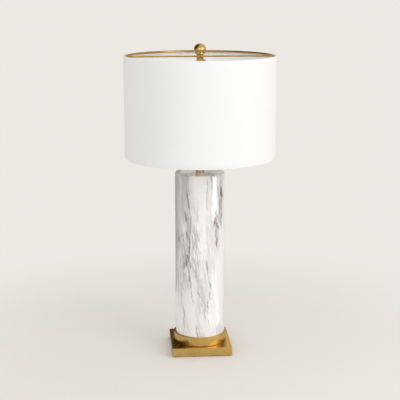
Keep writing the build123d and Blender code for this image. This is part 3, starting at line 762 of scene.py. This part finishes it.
# White with grey veins and a few warm ones, under reflections as sharp as on glass.
GLAZE = MarbledGlaze(
    "stoneware, marbled and glazed",
    radius_mm=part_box("ceramic_column")[1].x / MM,
    cracks=(
        Vein(-32.5, 340, 406, -0.18, 2.8, 0.9), Vein(-40.5, 324, 356, -0.1, 5.0, 0.85),
        Vein(-27.5, 292, 356, 0.05, 3.6, 0.6), Vein(-37, 282, 308, -0.3, 4.8, 0.95),
        Vein(-30, 210, 304, 0.03, 3.2, 1.0), Vein(-30.5, 236, 306, 0.02, 2.6, 0.9),
        Vein(-33, 224, 252, -0.25, 7.0, 0.85), Vein(-38, 216, 244, 0.15, 6.5, 0.75),
        Vein(-30, 212, 240, -0.1, 4.5, 0.6), Vein(-46, 208, 230, 0.2, 4.0, 0.6),
        Vein(-65.5, 270, 290, -0.1, 3.2, 0.6), Vein(-56, 280, 302, 1.0, 5.0, 0.4),
        Vein(-48.5, 272, 304, -0.15, 3.6, 0.9), Vein(-46, 238, 288, -0.1, 2.8, 0.6),
        Vein(-10, 320, 390, -0.02, 3.2, 0.3), Vein(11.5, 345, 445, 0.02, 2.4, 0.6),
        Vein(23, 404, 446, 0.0, 2.4, 0.7), Vein(53, 378, 414, -0.1, 4.2, 1.0),
        Vein(58, 380, 408, 0.0, 3.4, 0.9), Vein(50, 412, 448, 0.0, 3.4, 0.6),
        Vein(55, 346, 384, -0.15, 3.4, 0.85), Vein(59, 330, 350, 0.3, 3.6, 0.8),
        Vein(53, 308, 352, -0.1, 3.4, 0.7), Vein(42, 382, 420, -0.1, 2.8, 0.6),
        Vein(48, 352, 384, -0.05, 2.8, 0.5), Vein(36.5, 336, 368, 0.0, 1.8, 0.5),
        Vein(-30.5, 154, 228, -0.14, 3.0, 0.95), Vein(-24, 122, 172, -0.07, 2.4, 0.42),
        Vein(-45.5, 206, 248, -0.12, 3.2, 0.6), Vein(-62, 202, 242, 0.15, 3.6, 0.5),
        Vein(-70, 145, 204, -0.02, 4.2, 0.4), Vein(-55, 106, 184, -0.08, 3.6, 0.42),
        Vein(-46.5, 58, 126, -0.08, 3.6, 0.4), Vein(-14, 180, 216, -0.15, 2.6, 0.45),
        Vein(14.5, 172, 244, -0.11, 2.4, 0.75), Vein(20, 132, 188, -0.02, 2.2, 0.6),
        Vein(13.5, 113, 137, 0.0, 2.4, 0.65), Vein(-7, 140, 162, -0.5, 2.2, 0.45),
        Vein(7, 84, 118, -0.3, 2.0, 0.45), Vein(18, 62, 92, -0.12, 2.0, 0.5),
        Vein(-14.5, 40, 80, -0.13, 2.0, 0.75), Vein(-35, 50, 92, -0.28, 2.4, 0.4),
        Vein(47, 84, 114, -0.25, 3.2, 0.3), Vein(51, 56, 84, -0.1, 3.2, 0.25),
        Vein(110, 180, 330, -0.12, 3.0, 0.8), Vein(96, 60, 170, -0.16, 2.4, 0.6),
        Vein(150, 90, 240, -0.14, 2.6, 0.7), Vein(132, 300, 430, -0.1, 3.4, 0.75),
        Vein(-110, 240, 400, -0.12, 2.8, 0.8), Vein(-140, 70, 230, -0.12, 2.6, 0.7),
        Vein(-104, 80, 180, -0.08, 3.4, 0.5), Vein(172, 280, 420, -0.1, 3.0, 0.8),
    ),
    # Soft grey areas. Those on the left, from -70 to -35 round, are painted shade and a painted dark
    # reflection; those from 439 up lie on the top face and are painted shade from the lampshade over it; the
    # others are marble clouds.
    grey_clouds_and_painted_shade=(
        Vein(-70, 215, 480, 0.0, 38.0, 0.62), Vein(-48, 295, 490, 0.0, 18.0, 0.85),
        Vein(-35, 240, 368, 0.0, 14.0, 0.7), Vein(-37, 290, 660, 0.0, 9.0, 0.6),
        Vein(-42, 212, 262, 0.0, 14.0, 0.55), Vein(58, 305, 470, 0.0, 15.0, 0.35),
        Vein(20, 440, 640, -0.2, 90.0, 0.6), Vein(-22, 439, 520, -0.4, 34.0, 0.6),
        Vein(14, 440, 530, -0.4, 20.0, 0.75), Vein(120, 150, 420, -0.12, 30.0, 0.4),
        Vein(-130, 100, 380, -0.12, 34.0, 0.4),
    ),
    nets=(
        Vein(-16, 170, 345, -0.05, 21.0, 0.9), Vein(-46, 130, 305, 0.0, 28.0, 0.62),
        Vein(-2, 75, 220, -0.12, 24.0, 0.5), Vein(52, 300, 440, 0.0, 14.0, 0.8),
        Vein(36, 255, 350, -0.05, 14.0, 0.4), Vein(120, 150, 420, -0.12, 30.0, 0.8),
        Vein(-130, 100, 380, -0.12, 34.0, 0.8),
    ),
    # Plain white ground. The wide one on the lower right, at 50 round, is a painted lit patch where the
    # window light falls, and the one up the front, at 5 round, is painted light that lifts the ground under
    # the lampshade's shadow; the others only keep fine veins off.
    clears_and_painted_light=(
        Vein(50, 20, 300, 0.0, 38.0, 0.95), Vein(5, 215, 480, 0.0, 11.0, 0.8),
        Vein(4, 45, 112, 0.0, 16.0, 0.8), Vein(-12, 345, 560, 0.0, 30.0, 0.85),
        Vein(-60, 290, 620, 0.0, 28.0, 0.7),
    ),
    rusts=(
        Vein(38, 256, 352, -0.03, 10.0, 0.26), Vein(37.5, 256, 352, 0.0, 3.4, 0.6),
        Vein(35.5, 336, 356, 0.0, 3.2, 0.7), Vein(34, 318, 344, 0.2, 5.0, 0.9),
        Vein(42, 326, 346, -0.3, 4.4, 0.75), Vein(30.5, 314, 332, 0.1, 3.6, 0.6),
        Vein(40.5, 306, 330, -0.4, 5.0, 0.95), Vein(46, 302, 320, -0.1, 4.0, 0.7),
        Vein(35.5, 286, 310, -0.1, 5.0, 0.95), Vein(38.5, 262, 292, 0.0, 4.4, 0.9),
        Vein(26, 392, 440, -0.05, 2.8, 0.4), Vein(18, 164, 190, -0.25, 2.0, 0.45),
        Vein(112, 220, 280, -0.12, 3.0, 0.6),
    ),
    hairs=(
        HairVeins(15, 0.09, -0.12, 1.0), HairVeins(11, 0.1, -0.2, 0.9), HairVeins(12, 0.1, 0.06, 0.7),
        HairVeins(7.5, 0.13, -0.1, 0.7),
    ),
)
# Soft white, with the weave just showing, brighter where light comes through.
CLOTH = ShadeCloth("cotton and polyester, plain woven")
# Smooth milky white behind the cloth.
STYRENE = Moulded(
    "styrene sheet, rolled",
    colour="#F8F8F6",
    worn="#F4F4F2",
    roughness=0.45,
    texture_depth_mm=0.008,
    through=0.1,
)
# Warm white with a satin gleam.
BULB_SHELL = Moulded("thermoplastic, moulded white", colour="#EDECE8", worn="#E4E3DE", roughness=0.38)
# Milky and softly shining, so that nothing shows inside.
BULB_OPAL = Moulded(
    "polycarbonate, frosted",
    colour="#F4F2ED",
    worn="#EFEDE7",
    roughness=0.4,
    texture_depth_mm=0.008,
    through=0.15,
)
# Black with a satin gleam, rubbed grey in places.
PHENOLIC = Moulded("phenolic, moulded black")
# Black and dull.
RUBBER = Moulded("rubber, moulded", colour="#191919", worn="#252423", roughness=0.65)
# Brownish grey and dull, like thick card.
FIBRE = Moulded("vulcanised fibre, rolled", colour="#4A443E", worn="#57504A", roughness=0.7, texture_mm=1.2)
# Dark green without a gleam, with raised paler fibres.
FELT = Felt("wool felt, pressed")
# Black and matt, for the brass to mirror.
BLACK_CARD = Moulded("card, matt black", colour="#120F0C", worn="#16120E", roughness=0.9)

NODE_FINISHES: dict[Finish, tuple[str, ...]] = {
    TURNED_BRASS: ("column_collar", "brass_neck", "shade_riser", "spider_hub"),
    BALL_BRASS: ("ball_finial",),
    PLATE_BRASS: ("base_plate",),
    DRAWN_BRASS: ("spider_arms", "shade_top_ring", "shade_bottom_ring", "harp"),
    BRIGHT_BRASS: (
        "harp_saddle", "harp_sleeve_front", "harp_sleeve_back", "harp_stud", "socket_cap", "socket_shell",
        "terminal_screws", "centre_contact", "bulb_contact",
    ),
    GLAZE: ("ceramic_column",),
    IRON: ("base_weight",),
    ZINC_STEEL: ("bottom_washer", "lock_washer", "bottom_nut", "switch_shaft"),
    PIPE_STEEL: ("lamp_pipe",),
    ALUMINIUM: ("screw_shell",),
    STYRENE: ("shade_liner",),
    BULB_SHELL: ("bulb_housing",),
    BULB_OPAL: ("bulb_dome",),
    PHENOLIC: ("cord_grommet", "switch_knob", "socket_core", "bulb_insulator"),
    RUBBER: ("foot_gasket",),
    FIBRE: ("socket_liner",),
}


def make_piece(name: str, shape: BMesh, finish: Finish) -> Object:
    """Turn a finished bmesh into a smooth-shaded object at the origin.

    Args:
        name: the piece's name.
        shape: its mesh in the lamp's frame, which is freed.
        finish: its finish.

    Returns:
        The new object, linked to the scene.
    """
    mesh = bpy.data.meshes.new(name)
    shape.to_mesh(mesh)
    shape.free()
    mesh.materials.append(finish.material())
    mesh.shade_smooth()
    mesh.set_sharp_from_angle(angle=math.radians(SHARP_DEGREES))
    piece = bpy.data.objects.new(name, mesh)
    bpy.context.scene.collection.objects.link(piece)
    LOG.info("made %s with %d faces", name, len(mesh.polygons))
    return piece


def arc(
    centre: tuple[float, float], radius: float, start: int, stop: int, step: int
) -> list[tuple[float, float]]:
    """Lay points along an arc of a profile.

    Args:
        centre: radius and height of the arc's centre.
        radius: of the arc.
        start: degrees up from straight out, at the first point.
        stop: the same at the last point.
        step: degrees from point to point.

    Returns:
        The points, as radius and height.
    """
    turns = [math.radians(degrees) for degrees in range(start, stop + step, step)]
    return [(centre[0] + radius * math.cos(turn), centre[1] + radius * math.sin(turn)) for turn in turns]


@dataclass
class Shade:
    """The drum shade's cloth, turned in over the liner's edges and lapped at the back.

    Attributes:
        thickness: of the cloth.
        liner: thickness of the liner.
        hem: how far the cloth is turned in at each edge.
        steps: faces round the shade.
        rows: faces up the wall.
        lap: width of the join at the back.
        lap_thickness: how far the join stands proud.
        lap_cuts: cuts across the join, so that it can follow the wall.
    """

    thickness: float = 0.6 * MM
    liner: float = 0.5 * MM
    hem: float = 9.0 * MM
    steps: int = 240
    rows: int = 24
    lap: float = 12.0 * MM
    lap_thickness: float = 0.35 * MM
    lap_cuts: int = 7

    def build(self) -> None:
        """Build the cloth and its lap, and set both on the shade's body."""
        low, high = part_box("shade_fabric")
        radius = high.x
        cloth = self.cloth(radius, low.z, high.z)
        lap = self.lapped(radius, low.z, high.z)
        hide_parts("shade_fabric")
        for piece in (cloth, lap):
            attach(piece, "shade")

    def cloth(self, radius: float, low: float, high: float) -> Object:
        """Spin the wall, with a hem turned in at each edge, once round the axis.

        Args:
            radius: outside of the shade.
            low: bottom of the shade.
            high: top of the shade.

        Returns:
            The cloth.
        """
        _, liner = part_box("shade_liner")
        fold = (radius - liner.x + self.liner) / 2 + self.thickness
        small = fold - self.thickness
        bend, back = radius - fold, radius - 2 * fold
        foot, top = low + fold, high - fold
        profile = [
            *((radius, foot + (top - foot) * i / self.rows) for i in range(self.rows + 1)),
            *arc((bend, top), fold, 15, 180, 15),
            (back, high - self.hem),
            (back + self.thickness, high - self.hem),
            *arc((bend, top), small, 180, 0, -30),
            *arc((bend, foot), small, 0, -180, -30),
            (back + self.thickness, low + self.hem),
            (back, low + self.hem),
            *arc((bend, foot), fold, 180, 345, 15),
        ]
        shape = bmesh.new()
        points = [shape.verts.new((0.0, out, height)) for out, height in profile]
        for a, b in zip(points, points[1:] + points[:1]):
            shape.edges.new((a, b))
        bmesh.ops.spin(
            shape,
            geom=shape.verts[:] + shape.edges[:],
            cent=(0.0, 0.0, 0.0),
            axis=Z_AXIS,
            angle=2 * math.pi,
            steps=self.steps,
            use_merge=True,
        )
        bmesh.ops.remove_doubles(shape, verts=shape.verts[:], dist=SAME_PLACE)
        bmesh.ops.recalc_face_normals(shape, faces=shape.faces[:])
        self.map_cut(shape, radius)
        return make_piece("shade_cloth", shape, CLOTH)

    def lapped(self, radius: float, low: float, high: float) -> Object:
        """Build the narrow lap that closes the cloth at the back.

        Args:
            radius: outside of the shade.
            low: bottom of the shade.
            high: top of the shade.

        Returns:
            The lap.
        """
        shape = bmesh.new()
        bmesh.ops.create_cube(shape, size=1.0)
        size = (self.lap, high - low - self.lap, self.lap_thickness)
        bmesh.ops.scale(shape, vec=size, verts=shape.verts[:])
        rim = [e for e in shape.edges if all(v.co.z > 0 for v in e.verts)]
        ease = 0.6 * self.lap_thickness
        bmesh.ops.bevel(shape, geom=rim, offset=ease, affect="EDGES", segments=3, profile=0.5, material=-1)
        across = [e for e in shape.edges if abs(e.verts[0].co.x - e.verts[1].co.x) > self.lap / 2]
        bmesh.ops.subdivide_edges(shape, edges=across, cuts=self.lap_cuts, use_grid_fill=True)
        for vert in shape.verts:
            out = radius + vert.co.z + self.lap_thickness / 2
            turn = math.pi / 2 - vert.co.x / radius
            vert.co = Vector((out * math.cos(turn), out * math.sin(turn), (low + high) / 2 + vert.co.y))
        bmesh.ops.recalc_face_normals(shape, faces=shape.faces[:])
        self.map_cut(shape, radius)
        return make_piece("shade_lap", shape, CLOTH)

    def map_cut(self, shape: BMesh, radius: float) -> None:
        """Lay the cloth's map out flat, in metres, with its seam at the back.

        Args:
            shape: the cloth's mesh.
            radius: outside of the shade.
        """
        cut = shape.loops.layers.uv.new("cut")
        for face in shape.faces:
            middle = face.calc_center_median()
            centre = math.atan2(middle.x, -middle.y)
            for loop in face.loops:
                turn = math.atan2(loop.vert.co.x, -loop.vert.co.y)
                turn += 2 * math.pi * round((centre - turn) / (2 * math.pi))
                loop[cut].uv = (turn * radius, loop.vert.co.z)


@dataclass
class Base:
    """The felt under the plate.

    Attributes:
        corner: radius of the felt's corners.
        edge: radius of its pressed edge.
    """

    corner: float = 3.0 * MM
    edge: float = 0.4 * MM

    def build(self) -> None:
        """Build the felt and set it under the plate."""
        low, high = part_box("felt_pad")
        shape = bmesh.new()
        bmesh.ops.create_cube(shape, size=1.0)
        bmesh.ops.scale(shape, vec=high - low, verts=shape.verts[:])
        bmesh.ops.translate(shape, vec=(low + high) / 2, verts=shape.verts[:])
        upright = [e for e in shape.edges if abs((e.verts[0].co - e.verts[1].co).normalized().z) > 0.9]
        bmesh.ops.bevel(
            shape, geom=upright, offset=self.corner, affect="EDGES", segments=8, profile=0.5, material=-1
        )
        # What still turns by more than a radian is the edge all round, above and below.
        rims = [e for e in shape.edges if e.calc_face_angle(0.0) > 1.0]
        bmesh.ops.bevel(
            shape, geom=rims, offset=self.edge, affect="EDGES", segments=3, profile=0.5, material=-1
        )
        bmesh.ops.recalc_face_normals(shape, faces=shape.faces[:])
        felt = make_piece("felt_sole", shape, FELT)
        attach(felt, "lamp_stand")
        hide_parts("felt_pad")


@dataclass
class Bulb:
    """The bulb's screw cap, with its rolled thread.

    Attributes:
        pitch: of the medium screw thread.
        depth: from crest to root.
        wall: of the rolled sheet.
        lead: height of the plain taper below the thread.
        skirt: height of the plain band above the thread.
        skirt_wall: thickness of that band.
        inset: how far the band stays inside the crests.
        ease: rounding of the rim and of the step inside.
        taper: of the band's and the cap's lower ends.
        steps: faces in one turn.
        rows: faces from crest to crest.
        weld: distance below which the cut thread's points become one.
    """

    pitch: float = 3.629 * MM
    depth: float = 0.8 * MM
    wall: float = 0.4 * MM
    lead: float = 0.8 * MM
    skirt: float = 4.4 * MM
    skirt_wall: float = 0.5 * MM
    inset: float = 0.05 * MM
    ease: float = 0.2 * MM
    taper: float = 0.3 * MM
    steps: int = 64
    rows: int = 12
    weld: float = 0.05 * MM

    def build(self) -> None:
        """Build the threaded cap and set it on the bulb's body."""
        low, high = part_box("bulb_cap")
        crest, band = high.x, high.z - self.skirt
        shape = self.thread(crest, low.z, high.z)
        for height, way in ((low.z + self.lead, -1), (band, 1)):
            bmesh.ops.bisect_plane(
                shape,
                geom=shape.verts[:] + shape.edges[:] + shape.faces[:],
                plane_co=(0.0, 0.0, height),
                plane_no=Z_AXIS * way,
                clear_outer=True,
            )
        bmesh.ops.remove_doubles(shape, verts=shape.verts[:], dist=self.weld)
        middle = (low.z + high.z) / 2
        rims = [e for e in shape.edges if e.is_boundary]
        upper = [e for e in rims if e.verts[0].co.z > middle]
        lower = [e for e in rims if e.verts[0].co.z < middle]
        root, bore = crest - self.depth - self.wall, crest - self.skirt_wall
        for radius, height in (
            (crest - self.inset, band + self.taper),
            (crest - self.inset, high.z - self.ease),
            (crest - self.ease, high.z),
            (bore, high.z),
            (bore, band + self.ease),
            (root, band - self.ease),
        ):
            upper = self.grown(shape, upper, radius, height)
        for radius in (crest - self.taper, root):
            lower = self.grown(shape, lower, radius, low.z)
        bmesh.ops.bridge_loops(shape, edges=upper + lower)
        bmesh.ops.recalc_face_normals(shape, faces=shape.faces[:])
        cap = make_piece("bulb_screw_cap", shape, ALUMINIUM)
        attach(cap, "bulb")
        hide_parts("bulb_cap")

    def thread(self, crest: float, low: float, high: float) -> BMesh:
        """Spin the thread's wave up round the axis, past both ends of the cap.

        Args:
            crest: radius of the crests.
            low: bottom of the cap.
            high: top of the cap.

        Returns:
            A mesh of the open thread.
        """
        # It starts a turn and a half too low, so that both ends can be cut level.
        turns = math.ceil((high - low) / self.pitch) + 2
        shape = bmesh.new()
        points = []
        for i in range(self.rows * turns + 1):
            drop = self.depth * (0.5 - 0.5 * math.cos(2 * math.pi * i / self.rows))
            points.append(shape.verts.new((crest - drop, 0.0, low + self.pitch * (i / self.rows - 1.5))))
        for a, b in zip(points, points[1:]):
            shape.edges.new((a, b))
        bmesh.ops.spin(
            shape,
            geom=shape.verts[:] + shape.edges[:],
            axis=Z_AXIS,
            cent=(0.0, 0.0, 0.0),
            dvec=Z_AXIS * (self.pitch / self.steps),
            angle=2 * math.pi,
            steps=self.steps,
        )
        bmesh.ops.remove_doubles(shape, verts=shape.verts[:], dist=SAME_PLACE)
        return shape

    def grown(self, shape: BMesh, rim: list[BMEdge], radius: float, height: float) -> list[BMEdge]:
        """Extrude a rim to a level ring.

        Args:
            shape: the cap's mesh.
            rim: edges of the rim.
            radius: of the new ring.
            height: of the new ring.

        Returns:
            The new ring's edges.
        """
        made = bmesh.ops.extrude_edge_only(shape, edges=rim)["geom"]
        for vert in (g for g in made if isinstance(g, BMVert)):
            out = Vector((vert.co.x, vert.co.y)).normalized() * radius
            vert.co = Vector((out.x, out.y, height))
        return [g for g in made if isinstance(g, BMEdge) and g.is_boundary]


@dataclass
class Socket:
    """The small set screw that locks the socket's cap on the pipe.

    Attributes:
        head: screw head diameter.
        head_height: screw head height.
        edge: rounding of the head.
        slot: width and depth of its slot.
        neck: radius of the cap's neck, where the screw sits.
        lift: height of the screw above the cap's lower end.
    """

    head: float = 3.8 * MM
    head_height: float = 1.8 * MM
    edge: float = 0.4 * MM
    slot: tuple[float, float] = (0.7 * MM, 0.6 * MM)
    neck: float = 5.6 * MM
    lift: float = 3.4 * MM

    def build(self) -> None:
        """Build the slotted screw and set it in the cap's neck, on the side away from the knob."""
        low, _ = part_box("socket_cap")
        shape = bmesh.new()
        radius = self.head / 2
        bmesh.ops.create_cone(
            shape, cap_ends=True, segments=32, radius1=radius, radius2=radius, depth=self.head_height
        )
        rim = [e for e in shape.edges if all(v.co.z > 0 for v in e.verts)]
        bmesh.ops.bevel(
            shape, geom=rim, offset=self.edge, affect="EDGES", segments=3, profile=0.5, material=-1
        )
        side = self.slot[0] / 2
        for place in (-side, side):
            bmesh.ops.bisect_plane(
                shape,
                geom=shape.verts[:] + shape.edges[:] + shape.faces[:],
                plane_co=(place, 0.0, 0.0),
                plane_no=(1.0, 0.0, 0.0),
            )
        # The strip of the top and of its rounded rim between the two cuts sinks to make the slot.
        middles = {f: f.calc_center_median() for f in shape.faces if f.normal.z > 0.2}
        groove = [f for f, middle in middles.items() if abs(middle.x) < side and middle.z > 0]
        grown = bmesh.ops.extrude_face_region(shape, geom=groove)["geom"]
        sunk = [g for g in grown if isinstance(g, BMVert)]
        bmesh.ops.translate(shape, vec=(0.0, 0.0, -self.slot[1]), verts=sunk)
        bmesh.ops.delete(shape, geom=groove, context="FACES")
        bmesh.ops.recalc_face_normals(shape, faces=shape.faces[:])
        place = Matrix.Translation((-(self.neck + self.head_height / 2), 0.0, low.z + self.lift))
        bmesh.ops.transform(shape, matrix=place @ Matrix.Rotation(-math.pi / 2, 4, "Y"), verts=shape.verts[:])
        screw = make_piece("cap_set_screw", shape, BRIGHT_BRASS)
        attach(screw, "lamp_stand")


@dataclass(frozen=True)
class SoftBox:
    """One soft studio lamp.

    Attributes:
        name: the lamp's name.
        place: where it stands.
        aim: the point it faces.
        size: width and height.
        power: in watts.
        lights: what it lights.
        colour: tint of its cloth.
        only: the one node that it lights, or none.
    """

    name: str
    place: Point
    aim: Point
    size: tuple[float, float]
    power: float
    lights: Lights = Lights.ALL
    colour: str = "#FFFEFD"
    only: str = ""

    def build(self) -> None:
        """Build the lamp and turn it to its aim."""
        light = bpy.data.lights.new(self.name, "AREA")
        light.shape = "RECTANGLE"
        light.size, light.size_y = self.size
        light.energy = self.power
        light.color = linear(self.colour)[:3]
        lamp = bpy.data.objects.new(self.name, light)
        lamp.location = self.place
        lamp.rotation_euler = (Vector(self.aim) - Vector(self.place)).to_track_quat("-Z", "Y").to_euler()
        lamp.visible_diffuse = lamp.visible_transmission = self.lights is not Lights.MIRRORS
        lamp.visible_glossy = self.lights is not Lights.MATT
        if self.only:
            lamp.light_linking.receiver_collection = bpy.data.collections.new(self.name)
            lamp.light_linking.receiver_collection.objects.link(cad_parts[self.only])
        bpy.context.scene.collection.objects.link(lamp)


@dataclass(frozen=True)
class DarkCard:
    """One matt black card for the brass to mirror, which only reflections see.

    Attributes:
        name: the card's name.
        place: its middle.
        size: width and height.
        turn: degrees round from facing the front.
    """

    name: str
    place: Point
    size: tuple[float, float]
    turn: float = 0.0

    def build(self) -> None:
        """Stand the card up."""
        shape = bmesh.new()
        bmesh.ops.create_grid(shape, x_segments=1, y_segments=1, size=0.5)
        upright = Matrix.Rotation(math.radians(self.turn), 4, "Z") @ Matrix.Rotation(math.pi / 2, 4, "X")
        stood = Matrix.Translation(self.place) @ upright @ Matrix.Diagonal((*self.size, 1.0, 1.0))
        bmesh.ops.transform(shape, matrix=stood, verts=shape.verts[:])
        card = make_piece(self.name, shape, BLACK_CARD)
        card.visible_camera = card.visible_diffuse = card.visible_transmission = card.visible_shadow = False


@dataclass(frozen=True)
class DarkFlag:
    """One dark part of the background for the brass to mirror, which only reflections see.

    Attributes:
        way: direction of its middle, of length 1.
        core: degrees from its middle to where it starts to fade.
        reach: degrees from its middle to where it ends.
    """

    way: Point
    core: float
    reach: float


@dataclass
class Studio:
    """Plain pale floor, soft lamps, dark cards and a flag for the brass to mirror, and the camera.

    Attributes:
        floor_size: side of the floor.
        floor_colour: its paint.
        wall_colour: background colour, which the floor fades into.
        fade: distances from the axis where that starts and ends.
        sky_colour: colour of the light from all round.
        ambient: strength of that light.
        azimuth: of the camera, in degrees round from the front.
        elevation: of the camera, in degrees.
        distance: of the camera from its aim.
        aim_height: height of the aim on the lamp's axis.
        lens: focal length in millimetres.
        sensor: width of the camera's sensor in millimetres.
        flag_colour: colour of the dark flag.
        flag: the dark flag, high on the left.
        cards: the dark cards.
        lamps: the soft lamps.
    """

    floor_size: float = 40.0
    floor_colour: str = "#E3DFD9"
    wall_colour: str = "#ECE9E3"
    fade: tuple[float, float] = (0.3, 0.95)
    sky_colour: str = "#FFFFFF"
    ambient: float = 0.9
    azimuth: float = -4.62
    elevation: float = 12.47
    distance: float = 2.3906
    aim_height: float = 0.370
    lens: float = 89.86
    sensor: float = 36.0
    flag_colour: str = "#1C1712"
    flag: DarkFlag = DarkFlag((-0.76, 0.28, 0.59), 26.0, 60.0)
    cards: tuple[DarkCard, ...] = (
        DarkCard("dark_card_left", (-0.52, 0.42, 0.3), (1.0, 0.6)),
        DarkCard("dark_card_right", (1.39, 0.56, 0.52), (0.8, 0.45), -68.0),
    )
    lamps: tuple[SoftBox, ...] = (
        SoftBox("window_light", (1.33, -1.38, 1.0), (0.0, 0.0, 0.42), (1.2, 1.6), 11.0),
        SoftBox("front_light", (-0.5, -2.6, 1.5), (0.0, 0.0, 0.4), (1.6, 1.2), 7.5),
        SoftBox(
            "shade_fill",
            (0.0, -0.8, 2.2),
            (0.0, 0.15, 0.68),
            (1.0, 0.4),
            6.5,
            Lights.MATT,
            only="shade_liner",
        ),
        SoftBox("front_panel", (-0.232, -0.713, 0.09), (0.0, 0.0, 0.09), (1.05, 0.18), 1.12, Lights.MIRRORS),
        SoftBox("side_panel", (0.682, -0.311, 0.25), (0.0, 0.0, 0.25), (0.25, 0.18), 0.42, Lights.MIRRORS),
        SoftBox("near_panel", (0.312, -0.18, 0.33), (0.0, 0.0, 0.33), (0.13, 0.1), 0.21, Lights.MIRRORS),
        SoftBox("low_panel", (0.37, -0.215, 0.02), (0.3, -0.174, 1.0), (0.34, 0.42), 1.15, Lights.MIRRORS),
    )

    def build(self) -> None:
        """Build the floor, the cards, the lamps, the background and the camera."""
        self.floor()
        for thing in (*self.cards, *self.lamps):
            thing.build()
        self.background()
        self.camera()
        bpy.context.scene.view_settings.view_transform = "Standard"

    def floor(self) -> None:
        """Build the painted floor, which fades into the background colour away from the lamp."""
        shape = bmesh.new()
        bmesh.ops.create_grid(shape, x_segments=2, y_segments=2, size=self.floor_size / 2)
        # Pale and matt, so that it shows no more of the lamp than a soft shadow.
        paint = FloorPaint("floor paint, rolled matt", self.floor_colour, self.wall_colour, self.fade)
        make_piece("floor", shape, paint)

    def background(self) -> None:
        """Build a pale background that the camera and reflections see, with its dark flag."""
        world = bpy.data.worlds.new("pale_studio")
        bpy.context.scene.world = world
        world.use_nodes = True
        world.node_tree.nodes.clear()
        add = partial(add_node, world.node_tree)
        way = add("TexCoord").outputs["Generated"]
        near = add("VectorMath", (way, self.flag.way), operation="DOT_PRODUCT")
        ends = (math.cos(math.radians(degrees)) for degrees in (self.flag.reach, self.flag.core))
        share = add("MapRange", (near, *ends), interpolation_type="SMOOTHSTEP")
        mirrored = add("LightPath").outputs["Is Glossy Ray"]
        flagged = add("Math", (share, mirrored), operation="MULTIPLY")
        colours = {6: linear(self.wall_colour), 7: linear(self.flag_colour)}
        wall = add("Background", {"Color": add("Mix", {0: flagged, **colours}, data_type="RGBA")})
        sky = add("Background", {"Color": linear(self.sky_colour), "Strength": self.ambient})
        add("OutputWorld", {"Surface": add("MixShader", (in_view(add), sky, wall))})

    def camera(self) -> None:
        """Build the camera at the photograph's viewing angle."""
        a, e = math.radians(self.azimuth), math.radians(self.elevation)
        back = Vector((math.sin(a) * math.cos(e), -math.cos(a) * math.cos(e), math.sin(e)))
        lens = bpy.data.cameras.new("camera")
        lens.lens = self.lens
        lens.sensor_width = self.sensor
        eye = bpy.data.objects.new("camera", lens)
        eye.location = Vector((0.0, 0.0, self.aim_height)) + back * self.distance
        eye.rotation_euler = (-back).to_track_quat("-Z", "Y").to_euler()
        bpy.context.scene.collection.objects.link(eye)
        bpy.context.scene.camera = eye


def dress_nodes() -> None:
    """Give each CAD node its finish."""
    for finish, names in NODE_FINISHES.items():
        for name in names:
            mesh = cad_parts[name].data
            mesh.materials.clear()
            mesh.materials.append(finish.material())
            LOG.info("dressed %s in %s", name, finish.name)


def main() -> None:
    """Dress the frame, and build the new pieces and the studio."""
    logging.basicConfig(level=logging.INFO, format="%(name)s: %(message)s")
    dress_nodes()
    for assembly in (Base(), Socket(), Bulb(), Shade()):
        assembly.build()
    Studio().build()


if __name__ == "__main__":
    main()
